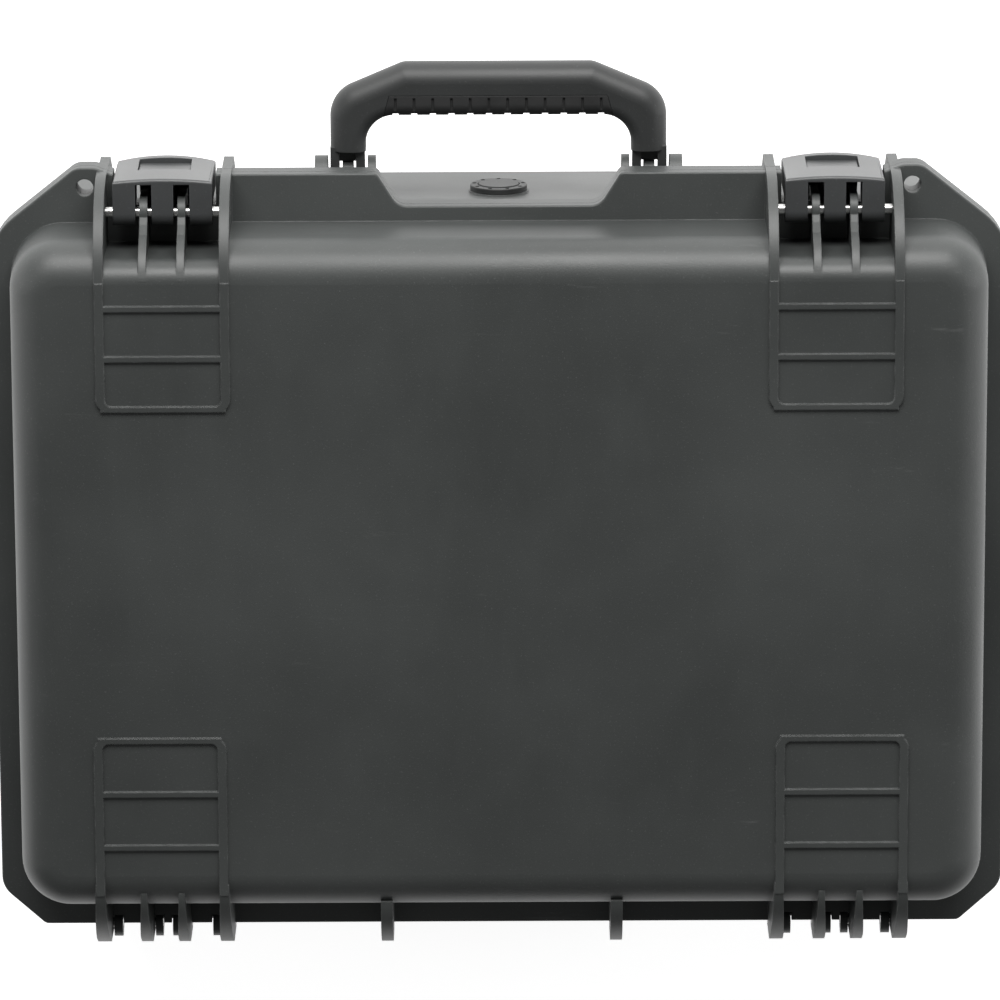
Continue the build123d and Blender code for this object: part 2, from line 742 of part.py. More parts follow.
def latch_body(side):
    x = side * latch_x
    half = latch_width / 2
    back = latch_axis_y + knuckle_radius + 1
    z = (latch_bottom_z, latch_top_z)
    block = loft([
        crowned(x, half, latch_foot_crown, back, z[0]),
        crowned(x, half, latch_crown, back, z[1]),
    ])
    uprights = [e for e in block.edges() if e.length > 40 and e.center().Y < latch_axis_y - 5]
    block = fillet(uprights, 1.5)
    knuckle = Pos(latch_axis_y, latch_axis_z) * Circle(knuckle_radius)
    outer = latch_face_y - latch_foot_crown - 1
    cheek_y = latch_axis_y - 4
    profile = knuckle + make_face(Polyline(
        (outer, z[0]), (outer, z[1]), (latch_axis_y, z[1]), (latch_axis_y, latch_axis_z - knuckle_radius),
        (cheek_y, latch_axis_z - knuckle_radius - 2), (cheek_y, z[0] + 5), (cheek_y - 3, z[0]), close=True,
    ))
    body = block & plate(profile, x, latch_width + 2)
    inner = half - latch_cheek
    skin_y = latch_face_y + latch_skin
    body -= box((x - inner, x + inner), (skin_y, back + 1), (z[0] + 2.5, slot_bottom_z + 2))
    window = window_width / 2
    body -= box((x - window, x + window), (outer, skin_y + 1), (window_bottom_z, window_top_z))
    for offset in (-inner_rib_offset, inner_rib_offset):
        slot = (x + offset - slot_width / 2, x + offset + slot_width / 2)
        body -= box(slot, (latch_face_y + slot_skin, back + 1), (slot_bottom_z, z[1] + 1))
    for end in (-1, 1):
        lug = sorted((x + end * (window + 0.3), x + end * (window + 3.6)))
        body += box(lug, (skin_y - 0.5, button_pin_y + 2.8), (button_pin_z - 3, button_pin_z + 3))
    seat_y = latch_axis_y - 4.2
    body += box((x - 4.6, x + 4.6), (seat_y, seat_y + 1.8), (spring_z - 4, slot_bottom_z + 4))
    span = (x - half - 1, x + half + 1)
    body -= rod(latch_pin_radius + running_clearance, span, latch_axis_y, latch_axis_z)
    reach = window + 3.8
    body -= rod(button_pin_radius + fixed_clearance, (x - reach, x + reach), button_pin_y, button_pin_z)
    return body


def latch_button(side):
    """A rocker: its pad is pressed in at the top, which swings the hook at its foot out from the rim."""
    x = side * latch_x
    half = window_width / 2 - button_gap / 2
    face = latch_face_y - button_proud
    z = (window_bottom_z + button_gap, window_top_z - button_top_gap)
    pad = box((x - half, x + half), (face, face + 3), z)
    pad = fillet(pad.faces().sort_by(Axis.Y)[0].edges(), button_edge_radius)
    hub = rod(button_hub_radius, (x - half, x + half), button_pin_y, button_pin_z)
    tip_y = bay_front + hook_grip
    tip_z = base_rim_under - hook_top_gap
    arm = make_face(Polyline(
        (button_pin_y - 1, button_pin_z), (button_pin_y + 0.8, tip_z - 4.4), (tip_y - 2.2, tip_z - 4.4),
        (tip_y, tip_z - 2), (tip_y, tip_z), (bay_front - 1.6, tip_z), (button_pin_y + 5, button_pin_z - 1.2),
        (button_pin_y + 2.4, button_pin_z + 1.2), close=True,
    ))
    button = pad + hub + plate(arm, x, 2 * half)
    span = (x - half - 1, x + half + 1)
    return button - rod(button_pin_radius + running_clearance, span, button_pin_y, button_pin_z)


def button_pin(side):
    x = side * latch_x
    reach = window_width / 2 + 3.6
    pin = rod(button_pin_radius, (x - reach, x + reach), button_pin_y, button_pin_z)
    return chamfer(pin.edges(), 0.2)


def button_spring(side):
    """A coil spring between the button's pad and its seat in the latch."""
    low = latch_face_y - button_proud + 3.3 + spring_wire / 2
    high = latch_axis_y - 4.2 - 0.3 - spring_wire / 2
    path = Helix((high - low) / spring_turns, high - low, spring_radius)
    start = path @ 0
    wire = sweep(Plane(origin=start, z_dir=path % 0) * Circle(spring_wire / 2), path=path)
    return Pos(side * latch_x, low, spring_z) * Rot(-90, 0, 0) * wire


# ---- handle -------------------------------------------------------------------------------------
def on_inner_outline(point):
    """Whether a point lies on the edge of the handle's opening."""
    return abs(point.X) < handle_inner_half + 0.1 and point.Y > handle_inner_top_y - 0.1


def on_outer_outline(point):
    """Whether a point lies on the handle's outer edge, in plan."""
    shoulder = handle_inner_half + handle_inner_round + 2
    crown = handle_inner_top_y - handle_inner_round - 2
    off_leg_end = abs(point.Y - handle_leg_end_y) > 0.01
    return off_leg_end and (abs(point.X) > shoulder or point.Y < crown)


def handle_body():
    """The whole handle's arch, before it is divided into shell and grip."""
    mid = handle_thickness / 2
    rise = handle_shoulder_y
    outer = FilletPolyline(
        (0, handle_top_y), (handle_flat_half, handle_top_y), (handle_half_width, rise),
        (handle_half_width, handle_leg_end_y),
        radius=[9.0, handle_shoulder_radius],
    )
    inner = FilletPolyline(
        (handle_inner_half, handle_leg_end_y), (handle_inner_half, handle_inner_top_y),
        (0, handle_inner_top_y),
        radius=[handle_inner_radius],
    )
    close = [
        Line((handle_half_width, handle_leg_end_y), (handle_inner_half, handle_leg_end_y)),
        Line((0, handle_inner_top_y), (0, handle_top_y)),
    ]
    right = make_face([*outer.edges(), *inner.edges(), *close])
    arch = right + mirror(right, Plane.YZ)
    block = extrude(Pos(0, 0, handle_axis_z) * arch, mid, both=True)
    rims = block.edges().group_by(Axis.Z)
    long_edges = [e for e in [*rims[0], *rims[-1]] if abs(e.center().Y - handle_leg_end_y) > 0.01]
    inside = [e for e in long_edges if on_inner_outline(e.center())]
    block = fillet(inside, handle_inner_round)
    rims = block.edges().group_by(Axis.Z)
    outside = [e for e in [*rims[0], *rims[-1]] if on_outer_outline(e.center())]
    return fillet(outside, handle_outer_round)


def grip_zone(shrink):
    """The space of the grip along the underside of the handle, slanted at both ends."""
    half = grip_half_length - shrink
    top = grip_seam_y + shrink
    low = handle_inner_top_y + 5
    zone = make_face(Polyline((-half, top), (half, top), (half + 4, low), (-half - 4, low), close=True))
    return extrude(Pos(0, 0, handle_axis_z) * zone, handle_thickness, both=True)


def handle_core():
    core = handle_body() - grip_zone(0)
    tine = make_hull([
        *(Pos(handle_axis_y, handle_axis_z) * Circle(tine_radius)).edges(),
        *(Pos(handle_leg_end_y - 1, handle_axis_z) * Rectangle(2, 2 * tine_radius)).edges(),
    ])
    slot_radius = ear_radius - post_inset + post_gap
    low = handle_x + tine_offsets[0] - tine_thickness / 2
    high = handle_x + tine_offsets[1] + tine_thickness / 2
    for side in SIDES.values():
        span = sorted((side * low, side * high))
        drill = (span[0] - 1, span[1] + 1)
        half = handle_thickness / 2 - handle_inner_round
        depth = (handle_leg_end_y - 2, handle_axis_y - 2)
        bridge = box(span, depth, (handle_axis_z - half, handle_axis_z + half))
        core += bridge - rod(slot_radius, drill, handle_axis_y, handle_axis_z)
        for offset in tine_offsets:
            core += plate(tine, side * (handle_x + offset), tine_thickness)
        core -= rod(handle_pin_radius + running_clearance, drill, handle_axis_y, handle_axis_z)
    return core


def handle_grip():
    grip = handle_body() & grip_zone(0.15)
    first = -(grip_notches - 1) / 2 * grip_notch_pitch
    face = handle_thickness / 2
    for i in range(grip_notches):
        x = first + i * grip_notch_pitch
        span = (x - grip_notch_width / 2, x + grip_notch_width / 2)
        under = (handle_inner_top_y - grip_notch_depth, handle_inner_top_y + 1)
        grip -= box(span, under, (handle_axis_z - face - 1, handle_axis_z + face + 1))
        groove = (x - grip_groove_width / 2, x + grip_groove_width / 2)
        rows = (grip_seam_y + 1.2, handle_inner_top_y + 1)
        for z in (handle_axis_z - face, handle_axis_z + face):
            grip -= box(groove, rows, (z - grip_groove_depth, z + grip_groove_depth))
    return grip


# ---- purge valve --------------------------------------------------------------------------------
def valve_body():
    seat = valve_seat_y()
    face = seat - valve_flange
    inner_end = valve_wall_y() + wall + valve_nut_thickness + 1.5
    flange = disc(valve_radius, 0, (face, seat), valve_z)
    flange = fillet(flange.edges().group_by(Axis.Y)[0], valve_edge_radius)
    flange -= disc(valve_radius - 3.4, 0, (face - 1, face + 1), valve_z)
    for i in range(valve_notches):
        turn = radians(360 / valve_notches * (i + 0.5))
        x = (valve_radius - valve_notch_inset) * sin(turn)
        z = valve_z + (valve_radius - valve_notch_inset) * cos(turn)
        flange -= disc(valve_notch_radius, x, (face - 1, face + 1.2), z)
    spigot = disc(valve_spigot_radius, 0, (seat - 1, inner_end), valve_z)
    body = flange + spigot
    body -= disc(valve_spigot_radius - 2.2, 0, (face + 2.2, inner_end + 1), valve_z)
    groove = disc(valve_spigot_radius + 2.6, 0, (seat - 0.9, seat + 0.1), valve_z)
    return body - (groove - disc(valve_spigot_radius, 0, (seat - 1.1, seat + 0.3), valve_z))


def valve_cap():
    """A round cover that snaps into the valve's face, with a vent gap around it."""
    face = valve_seat_y() - valve_flange
    cap = disc(valve_radius - 3.9, 0, (face - 0.4, face + 1), valve_z)
    return fillet(cap.edges().group_by(Axis.Y)[0], 0.35)


def valve_seal():
    seat = valve_seat_y()
    ring = disc(valve_spigot_radius + 2.4, 0, (seat - 0.9, seat), valve_z)
    return ring - disc(valve_spigot_radius + 0.2, 0, (seat - 1, seat + 1), valve_z)


def valve_membrane():
    """The thin vent membrane behind the valve's face."""
    back = valve_seat_y() - valve_flange + 2.2
    return disc(valve_spigot_radius - 2.3, 0, (back, back + 0.8), valve_z)


def valve_nut():
    start = valve_wall_y() + wall + 0.5
    y = (start, start + valve_nut_thickness)
    hexagon = Pos(0, y[0], valve_z) * Rot(-90, 0, 0) * extrude(RegularPolygon(12, 6), valve_nut_thickness)
    return hexagon - disc(valve_spigot_radius + fixed_clearance, 0, (y[0] - 1, y[1] + 1), valve_z)


# ---- inside -------------------------------------------------------------------------------------
def floor_foam():
    across, deep = inner_wall(wall)
    x = across - ledge_reach - 5
    y = deep - ledge_reach - 5
    pad = Pos(0, 0, wall) * rounded_rectangle((-x, x), (-y, y), 14)
    return extrude(pad, floor_foam_thickness)


def lid_foam():
    """The pad glued under the lid's face, inside the round of the lid's corners."""
    top = face_z - wall
    x = half_width - wall - face_radius - 1
    middle = lid_front_set_back / 2
    y = half_depth - lid_front_set_back / 2 - wall - face_radius - 1
    pad = Pos(0, 0, top - lid_foam_thickness) * rounded_rectangle((-x, x), (middle - y, middle + y), 16)
    return extrude(pad, lid_foam_thickness)


def tray_levels():
    """Underside of the tray's rim, top of the rim, and underside of its floor."""
    under = ledge_z + tray_gap
    top = under + tray_rim_thickness
    return under, top, top - tray_depth


def tray_partition_y():
    return -(tray_half_depth - tray_rim) + tray_front_well


def tray_bay_edges():
    """Where the removable dividers stand, along X."""
    inner = tray_half_width - tray_rim - tray_wall
    pitch = 2 * inner / tray_bays
    return [-inner + pitch * i for i in range(1, tray_bays)]


def tray_shell():
    under, top, bottom = tray_levels()
    x, y = tray_half_width, tray_half_depth
    box_x, box_y = x - tray_rim, y - tray_rim
    corner = tray_corner - 5
    tray = extrude(Pos(0, 0, under) * RectangleRounded(2 * x, 2 * y, tray_corner), tray_rim_thickness)
    well = Pos(0, 0, bottom) * RectangleRounded(2 * box_x, 2 * box_y, corner)
    tub_block = fillet(extrude(well, top - bottom).edges().group_by(Axis.Z)[0], 5)
    tray += tub_block
    inner_x, inner_y = box_x - tray_wall, box_y - tray_wall
    hollow = Pos(0, 0, bottom + tray_wall) * RectangleRounded(2 * inner_x, 2 * inner_y, corner - tray_wall)
    tray -= fillet(extrude(hollow, tray_depth).edges().group_by(Axis.Z)[0], 3)
    part_y = tray_partition_y()
    half_part = tray_partition / 2
    across = (-inner_x - 0.5, inner_x + 0.5)
    tray += box(across, (part_y - half_part, part_y + half_part), (bottom + 1, top - 2))
    crest_y = (part_y - tray_crest_half, part_y + tray_crest_half)
    crest = bar((-tray_grip_half, tray_grip_half), crest_y, (top - 8, top + tray_grip_height), 3.6)
    tray += crest
    grip_hole = extrude(SlotOverall(2 * tray_grip_half - tray_grip_slot + 1, tray_grip_slot), 6, both=True)
    tray -= Pos(0, part_y, top - tray_grip_slot) * Rot(90, 0, 0) * grip_hole
    for edge_x in tray_bay_edges():
        for end_y in (part_y + half_part, inner_y):
            way = 1 if end_y == inner_y else -1
            for off in (-1, 1):
                rail_x = edge_x + off * (divider_thickness / 2 + divider_gap + 0.9)
                span_y = sorted((end_y, end_y - way * 2.4))
                tray += box((rail_x - 0.9, rail_x + 0.9), span_y, (bottom + 1, top - 3))
    return tray


def tray_divider(edge_x):
    _, top, bottom = tray_levels()
    inner_y = tray_half_depth - tray_rim - tray_wall
    low_y = tray_partition_y() + tray_partition / 2 + divider_gap
    high_y = inner_y - divider_gap
    floor = bottom + tray_wall + divider_gap
    crest_y = tray_partition_y() + tray_crest_half + divider_gap
    outline = Polyline(
        (low_y, floor), (high_y - 3.5, floor), (high_y, floor + 3.5), (high_y, top - 3), (crest_y, top - 3),
        (crest_y, top - 9), (low_y, top - 9), close=True,
    )
    return plate(make_face(outline), edge_x, divider_thickness)


# ---- write --------------------------------------------------------------------------------------
def build():
    parts = {
        "base_shell": base_shell(),
        "lid_shell": lid_shell(),
        "lid_seal": lid_seal(),
        "handle_core": handle_core(),
        "handle_grip": handle_grip(),
        "valve_body": valve_body(),
        "valve_cap": valve_cap(),
        "valve_seal": valve_seal(),
        "valve_membrane": valve_membrane(),
        "valve_nut": valve_nut(),
        "floor_foam": floor_foam(),
        "lid_foam": lid_foam(),
        "tray_shell": tray_shell(),
    }
    for name, side in SIDES.items():
        for number, pin in enumerate(hinge_pins(side), 1):
            parts[f"hinge_pin_{name}_{number}"] = pin
        parts[f"handle_pin_{name}"] = handle_pin(side)
        parts[f"latch_pin_{name}"] = latch_pin(side)
        parts[f"latch_body_{name}"] = latch_body(side)
        parts[f"latch_button_{name}"] = latch_button(side)
        parts[f"button_pin_{name}"] = button_pin(side)
        parts[f"button_spring_{name}"] = button_spring(side)
    for number, edge_x in enumerate(tray_bay_edges(), 1):
        parts[f"tray_divider_{number}"] = tray_divider(edge_x)
    return parts


os.makedirs("parts", exist_ok=True)
for node, solid in build().items():
    export_step(solid, f"parts/{node}.step")
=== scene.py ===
"""The looks of a moulded hard case with a lift-out tray, in metres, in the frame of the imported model."""
import bpy
from math import cos, pi, radians, sin, sqrt
from mathutils import Matrix, Vector, noise


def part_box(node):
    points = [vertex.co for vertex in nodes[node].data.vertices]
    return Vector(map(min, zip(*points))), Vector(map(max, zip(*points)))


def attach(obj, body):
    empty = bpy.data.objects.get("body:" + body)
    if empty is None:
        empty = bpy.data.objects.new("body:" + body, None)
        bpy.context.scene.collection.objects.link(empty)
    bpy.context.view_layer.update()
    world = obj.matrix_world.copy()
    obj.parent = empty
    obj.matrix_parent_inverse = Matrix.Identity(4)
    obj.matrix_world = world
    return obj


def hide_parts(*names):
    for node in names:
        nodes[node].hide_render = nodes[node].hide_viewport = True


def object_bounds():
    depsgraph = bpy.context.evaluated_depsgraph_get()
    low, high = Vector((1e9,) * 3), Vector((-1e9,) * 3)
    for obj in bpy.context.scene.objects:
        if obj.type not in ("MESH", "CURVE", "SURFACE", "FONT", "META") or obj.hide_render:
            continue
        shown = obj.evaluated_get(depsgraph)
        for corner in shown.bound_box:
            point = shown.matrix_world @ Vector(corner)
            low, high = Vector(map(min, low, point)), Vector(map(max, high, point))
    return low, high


MM = 0.001

# foam pads
LID_PAD_CORNER = 16 * MM
LID_PAD_CELL = 2.7 * MM
LID_PAD_TOP_GAP = 0.1 * MM
FLOOR_PAD_CORNER = 14 * MM
FLOOR_PAD_CELL = 4.5 * MM
FLOOR_PAD_UNDER_GAP = 0.05 * MM
PAD_EDGE = 1.6 * MM
CRATE_PITCH = 27 * MM
CRATE_VALLEY = 8.5 * MM

# studio
FLOOR_HALF = 6.0
FLOOR_DROP = 0.0005
FLOOR_GLOW = 0.80
SKY_STRENGTH = 0.16
CAMERA_TILT = radians(14.5)
CAMERA_ROLL = radians(0.25)
CAMERA_DISTANCE = 3.2
CAMERA_LENS = 250.4
CAMERA_TARGET = (0.0, -0.02505, 0.1235)

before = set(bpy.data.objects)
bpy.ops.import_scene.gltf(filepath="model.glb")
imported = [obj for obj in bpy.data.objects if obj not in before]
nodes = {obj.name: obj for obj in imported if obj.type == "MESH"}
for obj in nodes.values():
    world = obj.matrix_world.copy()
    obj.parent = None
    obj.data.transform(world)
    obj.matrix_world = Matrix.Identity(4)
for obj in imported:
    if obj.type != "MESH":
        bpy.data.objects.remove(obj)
cad_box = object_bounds()


# ---- node trees ---------------------------------------------------------------------------------
class Finish:
    """A procedural material. Every pattern is laid out in metres on the piece itself."""

    def __init__(self, name):
        self.material = bpy.data.materials.new(name)
        self.material.use_nodes = True
        self.tree = self.material.node_tree
        self.shader = self.tree.nodes["Principled BSDF"]
        self.place = self.tree.nodes.new("ShaderNodeTexCoord").outputs["Object"]

    def node(self, kind, **settings):
        made = self.tree.nodes.new(kind)
        for key, value in settings.items():
            setattr(made, key, value)
        return made

    def feed(self, socket, value):
        """Links a socket to another, or sets its value."""
        if isinstance(value, bpy.types.NodeSocket):
            self.tree.links.new(value, socket)
        else:
            socket.default_value = value

    def stretched(self, scale):
        """The place on the piece, scaled differently along X, Y and Z."""
        mapping = self.node("ShaderNodeMapping")
        self.feed(mapping.inputs["Vector"], self.place)
        mapping.inputs["Scale"].default_value = scale
        return mapping.outputs["Vector"]

    def noise(self, size, detail=3.0, rough=0.5, place=None):
        """Cloudy noise whose features are about this many metres across."""
        made = self.node("ShaderNodeTexNoise")
        self.feed(made.inputs["Vector"], place or self.place)
        made.inputs["Scale"].default_value = 1 / size
        made.inputs["Detail"].default_value = detail
        made.inputs["Roughness"].default_value = rough
        return made.outputs["Fac"]

    def cells(self, size, feature="F1", place=None):
        made = self.node("ShaderNodeTexVoronoi", feature=feature)
        self.feed(made.inputs["Vector"], place or self.place)
        made.inputs["Scale"].default_value = 1 / size
        return made.outputs["Distance"]

    def span(self, value, low, high, to_low=0.0, to_high=1.0):
        """The value carried from one range to another, held at both ends."""
        made = self.node("ShaderNodeMapRange")
        self.feed(made.inputs["Value"], value)
        made.inputs["From Min"].default_value = low
        made.inputs["From Max"].default_value = high
        made.inputs["To Min"].default_value = to_low
        made.inputs["To Max"].default_value = to_high
        return made.outputs["Result"]

    def sum(self, a, b, operation="ADD"):
        made = self.node("ShaderNodeMath", operation=operation)
        self.feed(made.inputs[0], a)
        self.feed(made.inputs[1], b)
        return made.outputs[0]

    def times(self, a, b):
        return self.sum(a, b, "MULTIPLY")

    def mix(self, share, a, b):
        """Colour a, going over to colour b as share goes to 1."""
        made = self.node("ShaderNodeMix", data_type="RGBA")
        self.feed(made.inputs["Factor"], share)
        self.feed(made.inputs[6], a)
        self.feed(made.inputs[7], b)
        return made.outputs[2]

    def eased(self, radius):
        """The surface's normal with every sharp edge rounded to this radius."""
        made = self.node("ShaderNodeBevel", samples=4)
        made.inputs["Radius"].default_value = radius
        return made.outputs["Normal"]

    def edges(self, normal):
        """1 along the edges that the eased normal rounds, 0 on flat stretches."""
        flat = self.node("ShaderNodeNewGeometry").outputs["Normal"]
        dot = self.node("ShaderNodeVectorMath", operation="DOT_PRODUCT")
        self.feed(dot.inputs[0], flat)
        self.feed(dot.inputs[1], normal)
        return self.span(dot.outputs["Value"], 0.995, 0.90)

    def bump(self, height, depth, normal=None):
        made = self.node("ShaderNodeBump")
        made.inputs["Strength"].default_value = 1.0
        made.inputs["Distance"].default_value = depth
        self.feed(made.inputs["Height"], height)
        if normal:
            self.feed(made.inputs["Normal"], normal)
        return made.outputs["Normal"]

    def finish(self, colour, roughness, normal, **values):
        self.feed(self.shader.inputs["Base Color"], colour)
        self.feed(self.shader.inputs["Roughness"], roughness)
        self.feed(self.shader.inputs["Normal"], normal)
        for key, value in values.items():
            self.shader.inputs[key.replace("_", " ")].default_value = value
        return self.material


def grey(r, g, b):
    return (r, g, b, 1.0)


# ---- finishes -----------------------------------------------------------------------------------
def moulded(name, colour, worn, grain=0.55 * MM, depth=0.035 * MM, rough=(0.40, 0.54), edge=0.8 * MM):
    """Filled polypropylene from a spark-eroded mould: pebble grain, flow clouds, rubs and pale worn edges."""
    f = Finish(name)
    clouds = f.noise(140 * MM, 4.0, 0.55)
    flow = f.noise(30 * MM, 3.0, 0.6, f.stretched((1.0, 0.35, 1.0)))
    specks = f.noise(0.9 * MM, 2.0, 0.6)
    rubs = f.noise(22 * MM, 5.0, 0.72, f.stretched((0.25, 1.6, 1.0)))
    normal = f.eased(edge)
    wear = f.times(f.edges(normal), f.span(f.noise(9 * MM, 5.0, 0.7), 0.42, 0.66))
    dark = grey(*[c * 0.86 for c in colour])
    light = grey(*[c * 1.13 for c in colour])
    base = f.mix(f.span(clouds, 0.34, 0.66), dark, light)
    base = f.mix(f.span(flow, 0.5, 0.78, 0.0, 0.35), base, grey(*[c * 1.25 for c in colour]))
    base = f.mix(f.span(specks, 0.62, 0.8, 0.0, 0.30), base, grey(*worn))
    base = f.mix(f.span(rubs, 0.66, 0.78, 0.0, 0.28), base, grey(*worn))
    base = f.mix(f.times(wear, 0.55), base, grey(*worn))
    satin = f.span(clouds, 0.3, 0.7, *rough)
    satin = f.sum(satin, f.span(rubs, 0.62, 0.8, 0.0, 0.16))
    pebbles = f.sum(f.noise(grain, 2.0, 0.5), f.times(f.cells(grain * 2.2), 0.35))
    waves = f.bump(f.noise(60 * MM, 1.0, 0.4), 0.25 * MM, normal)
    return f.finish(base, satin, f.bump(pebbles, depth, waves), IOR=1.49)


def overmould(name):
    """Soft rubber of the grip: darker, matt and finely sanded, polished by hands."""
    f = Finish(name)
    colour = (0.007, 0.0073, 0.0075)
    clouds = f.noise(18 * MM, 4.0, 0.6)
    normal = f.eased(0.6 * MM)
    base = f.mix(f.span(clouds, 0.35, 0.7), grey(*colour), grey(*[c * 1.5 for c in colour]))
    dust = f.span(f.noise(2.2 * MM, 4.0, 0.7), 0.6, 0.8, 0.0, 0.18)
    base = f.mix(dust, base, grey(0.06, 0.06, 0.059))
    sand = f.noise(0.32 * MM, 2.0, 0.6)
    return f.finish(base, f.span(clouds, 0.3, 0.7, 0.58, 0.78), f.bump(sand, 0.05 * MM, normal), IOR=1.52)


def rubber(name):
    """Extruded sponge rubber of the seals, with a fine skin and a bloom."""
    f = Finish(name)
    bloom = f.noise(12 * MM, 4.0, 0.6)
    skin = f.noise(0.5 * MM, 3.0, 0.6)
    base = f.mix(f.span(bloom, 0.45, 0.75, 0.0, 0.5), grey(0.016, 0.016, 0.017), grey(0.045, 0.045, 0.047))
    rough = f.span(bloom, 0.3, 0.7, 0.6, 0.85)
    return f.finish(base, rough, f.bump(skin, 0.06 * MM, f.eased(0.4 * MM)), IOR=1.5)


def drawn_steel(name):
    """Stainless wire and rod, drawn along X, with fine lines and a few dull spots."""
    f = Finish(name)
    lines = f.noise(0.35 * MM, 3.0, 0.6, f.stretched((0.02, 1.0, 1.0)))
    spots = f.noise(3 * MM, 4.0, 0.7)
    base = f.mix(f.span(spots, 0.5, 0.8, 0.0, 0.5), grey(0.62, 0.62, 0.61), grey(0.40, 0.39, 0.38))
    rough = f.sum(f.span(lines, 0.3, 0.7, 0.18, 0.34), f.span(spots, 0.55, 0.8, 0.0, 0.22))
    return f.finish(base, rough, f.bump(lines, 0.015 * MM, f.eased(0.25 * MM)), Metallic=1.0)


def vent_cloth(name):
    """The vent's white membrane, a fine woven cloth, with painted shade darkening the gaps between the
    threads.
    """
    f = Finish(name)
    threads = []
    for axis in ("X", "Z"):
        wave = f.node("ShaderNodeTexWave", bands_direction=axis)
        f.feed(wave.inputs["Vector"], f.place)
        wave.inputs["Scale"].default_value = 1 / (1.6 * MM)
        wave.inputs["Distortion"].default_value = 0.6
        threads.append(wave.outputs["Fac"])
    weave_height_and_shade = f.sum(*threads, "MAXIMUM")
    # painted shade: the gaps between the threads, low in the bump, are painted darker than the thread crowns
    base = f.mix(f.span(weave_height_and_shade, 0.2, 0.8), grey(0.46, 0.46, 0.44), grey(0.74, 0.74, 0.71))
    return f.finish(base, f.span(weave_height_and_shade, 0.0, 1.0, 0.9, 0.7), f.bump(weave_height_and_shade, 0.08 * MM), Sheen_Weight=0.3)


def open_foam(name):
    """Charcoal polyurethane foam, cut through its cells, with painted shade darkening the pore hollows."""
    f = Finish(name)
    pore_depth_and_shade = f.cells(1.5 * MM, "SMOOTH_F1")
    fine = f.cells(0.7 * MM)
    shade = f.noise(35 * MM, 3.0, 0.6)
    fuzz = f.noise(0.5 * MM, 3.0, 0.7)
    # painted shade: the colour falls to near black at the pore centres, the hollows of the bump, where shade
    # falls
    base = f.mix(f.span(pore_depth_and_shade, 0.15, 0.75), grey(0.016, 0.016, 0.018), grey(0.058, 0.058, 0.062))
    base = f.mix(f.span(fuzz, 0.55, 0.75, 0.0, 0.5), base, grey(0.10, 0.10, 0.105))
    base = f.mix(f.span(shade, 0.35, 0.7, 0.0, 0.4), base, grey(0.036, 0.036, 0.039))
    height = f.sum(f.sum(pore_depth_and_shade, f.times(fine, 0.5)), f.times(fuzz, 0.4))
    return f.finish(base, f.span(fuzz, 0.2, 0.8, 0.86, 1.0), f.bump(height, 0.55 * MM), Sheen_Weight=0.25)


FINISHES = {
    "case": moulded("case_plastic", (0.042, 0.0455, 0.0445), (0.16, 0.165, 0.165)),
    "latch": moulded(
        "latch_plastic", (0.040, 0.042, 0.043), (0.15, 0.155, 0.16),
        grain=0.4 * MM, depth=0.02 * MM, rough=(0.28, 0.40), edge=0.6 * MM,
    ),
    "trim": moulded(
        "trim_plastic", (0.019, 0.0203, 0.0203), (0.10, 0.10, 0.105),
        grain=0.45 * MM, depth=0.025 * MM, rough=(0.44, 0.56), edge=0.5 * MM,
    ),
    "tray": moulded(
        "tray_plastic", (0.085, 0.089, 0.090), (0.24, 0.245, 0.25),
        grain=0.5 * MM, depth=0.03 * MM, rough=(0.42, 0.56), edge=0.7 * MM,
    ),
    "divider": moulded(
        "divider_plastic", (0.20, 0.20, 0.195), (0.36, 0.36, 0.36),
        grain=0.4 * MM, depth=0.02 * MM, rough=(0.36, 0.5), edge=0.4 * MM,
    ),
    "grip": overmould("grip_rubber"),
    "seal": rubber("seal_rubber"),
    "steel": drawn_steel("drawn_steel"),
    "membrane": vent_cloth("vent_cloth"),
    "foam": open_foam("open_cell_foam"),
}

for cad_node in nodes.values():
    for material_slot in cad_node.material_slots:
        material_slot.material = FINISHES[material_slot.material.name]


# ---- foam ---------------------------------------------------------------------------------------
def rounded(u, v, x, y, corner):
    """A point of a rectangle from -1 to 1 both ways, carried onto one with round corners."""
    px, py = u * x, v * y
    dx = max(abs(px) - (x - corner), 0) / corner
    dy = max(abs(py) - (y - corner), 0) / corner
    if dx and dy:
        px = (x - corner + corner * dx * sqrt(1 - dy * dy / 2)) * (1 if px > 0 else -1)
        py = (y - corner + corner * dy * sqrt(1 - dx * dx / 2)) * (1 if py > 0 else -1)
    return px, py


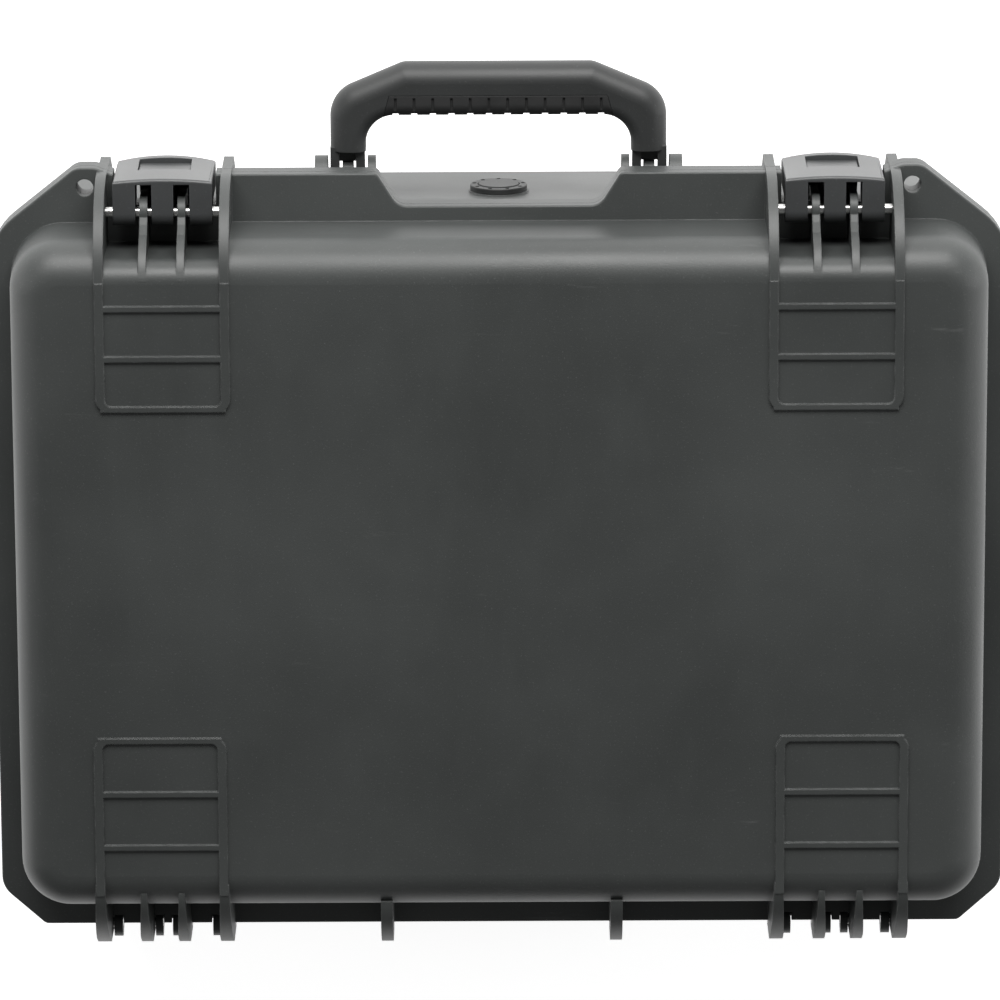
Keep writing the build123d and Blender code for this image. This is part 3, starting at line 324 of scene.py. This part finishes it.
def pad(name, cad_node, corner, cell, under, over):
    """A closed foam pad in a CAD node's space. under and over say how far each face falls short of it."""
    low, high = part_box(cad_node)
    centre = (low + high) / 2
    half = (high - low) / 2
    across = round(2 * half.x / cell)
    deep = round(2 * half.y / cell)
    vertices = []
    for face_z, sign, short in ((low.z, 1, under), (high.z, -1, over)):
        for j in range(deep + 1):
            for i in range(across + 1):
                x, y = rounded(2 * i / across - 1, 2 * j / deep - 1, half.x, half.y, corner)
                vertices.append((centre.x + x, centre.y + y, face_z + sign * short(x, y)))
    row = across + 1
    level = row * (deep + 1)
    faces = []
    for j in range(deep):
        for i in range(across):
            a = j * row + i
            faces.append((a, a + row, a + row + 1, a + 1))
            faces.append((level + a, level + a + 1, level + a + row + 1, level + a + row))
    ring = list(range(across))
    ring += [across + row * j for j in range(deep)]
    ring += [deep * row + i for i in range(across, 0, -1)]
    ring += [row * j for j in range(deep, 0, -1)]
    for a, b in zip(ring, ring[1:] + ring[:1]):
        faces.append((a, b, level + b, level + a))
    mesh = bpy.data.meshes.new(name)
    mesh.from_pydata(vertices, [], faces)
    mesh.shade_smooth()
    piece = bpy.data.objects.new(name, mesh)
    bpy.context.scene.collection.objects.link(piece)
    mesh.materials.append(FINISHES["foam"])
    ease = piece.modifiers.new("eased_edges", "BEVEL")
    ease.limit_method = "ANGLE"
    ease.angle_limit = radians(65)
    ease.width = PAD_EDGE
    ease.segments = 3
    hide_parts(cad_node)
    return piece


def ripple(x, y, size, depth):
    """A gentle unevenness of a cut foam face, never above the face."""
    return depth * (0.5 + 0.5 * noise.noise(Vector((x / size, y / size, 0.37))))


def egg_crate(x, y):
    """Rows of rounded peaks, staggered, on the pad's lower face."""
    wave = 0.5 + 0.5 * cos(2 * pi * x / CRATE_PITCH) * cos(2 * pi * y / CRATE_PITCH)
    return CRATE_VALLEY * (1 - wave ** 1.25) + ripple(x, y, 40 * MM, 0.4 * MM)


def flat_cut(x, y):
    return ripple(x, y, 55 * MM, 0.5 * MM)


lid_pad = pad("lid_pad", "lid_foam", LID_PAD_CORNER, LID_PAD_CELL, egg_crate, lambda x, y: LID_PAD_TOP_GAP)
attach(lid_pad, "lid")

floor_pad = pad(
    "floor_pad", "floor_foam", FLOOR_PAD_CORNER, FLOOR_PAD_CELL, lambda x, y: FLOOR_PAD_UNDER_GAP, flat_cut
)
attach(floor_pad, "base")


# ---- floor, light and camera --------------------------------------------------------------------
def studio_floor():
    f = Finish("pale_floor")
    tone = f.noise(0.5, 3.0, 0.5)
    base = f.mix(f.span(tone, 0.3, 0.7), grey(0.84, 0.84, 0.84), grey(0.88, 0.88, 0.88))
    grain = f.bump(f.noise(2 * MM, 2.0, 0.5), 0.02 * MM)
    material = f.finish(base, 0.6, grain)
    f.shader.inputs["Emission Color"].default_value = grey(1.0, 1.0, 1.0)
    f.shader.inputs["Emission Strength"].default_value = FLOOR_GLOW
    half = FLOOR_HALF
    mesh = bpy.data.meshes.new("floor")
    corners = [(-half, -half, 0), (half, -half, 0), (half, half, 0), (-half, half, 0)]
    mesh.from_pydata(corners, [], [(0, 1, 2, 3)])
    mesh.materials.append(material)
    floor = bpy.data.objects.new("floor", mesh)
    floor.location.z = cad_box[0].z - FLOOR_DROP
    bpy.context.scene.collection.objects.link(floor)


def softbox(name, place, aim, size, power, tint=(1.0, 1.0, 1.0)):
    data = bpy.data.lights.new(name, "AREA")
    data.shape = "RECTANGLE"
    data.size, data.size_y = size
    data.energy = power
    data.color = tint
    lamp = bpy.data.objects.new(name, data)
    lamp.location = place
    lamp.rotation_mode = "QUATERNION"
    lamp.rotation_quaternion = (Vector(aim) - Vector(place)).to_track_quat("-Z", "Y")
    bpy.context.scene.collection.objects.link(lamp)


def studio():
    studio_floor()
    softbox("key", (0.0, -2.1, 1.35), (0.0, -0.25, 0.1), (2.6, 1.2), 100.0, (1.0, 0.995, 0.985))
    softbox("side_left", (-1.7, -0.2, 0.6), (0.0, 0.0, 0.15), (0.7, 1.4), 9.0)
    softbox("side_right", (1.7, -0.2, 0.6), (0.0, 0.0, 0.15), (0.7, 1.4), 6.0)
    world = bpy.data.worlds.new("studio")
    world.use_nodes = True
    world.node_tree.nodes["Background"].inputs["Color"].default_value = grey(1.0, 1.0, 1.0)
    world.node_tree.nodes["Background"].inputs["Strength"].default_value = SKY_STRENGTH
    bpy.context.scene.world = world
    bpy.context.scene.view_settings.view_transform = "Standard"


def camera():
    """A long lens high above the case, leaning over from the handle's side."""
    target = Vector(CAMERA_TARGET)
    look = Vector((0.0, sin(CAMERA_TILT), -cos(CAMERA_TILT)))
    right = Vector((-1.0, 0.0, 0.0))
    up = Vector((0.0, -cos(CAMERA_TILT), -sin(CAMERA_TILT)))
    turned_right = right * cos(CAMERA_ROLL) - up * sin(CAMERA_ROLL)
    turned_up = up * cos(CAMERA_ROLL) + right * sin(CAMERA_ROLL)
    data = bpy.data.cameras.new("camera")
    data.lens = CAMERA_LENS
    data.sensor_width = 36.0
    data.clip_start, data.clip_end = 0.1, 30.0
    eye = bpy.data.objects.new("camera", data)
    axes = Matrix((turned_right, turned_up, -look)).transposed()
    eye.matrix_world = Matrix.Translation(target - look * CAMERA_DISTANCE) @ axes.to_4x4()
    bpy.context.scene.collection.objects.link(eye)
    bpy.context.scene.camera = eye


studio()
camera()
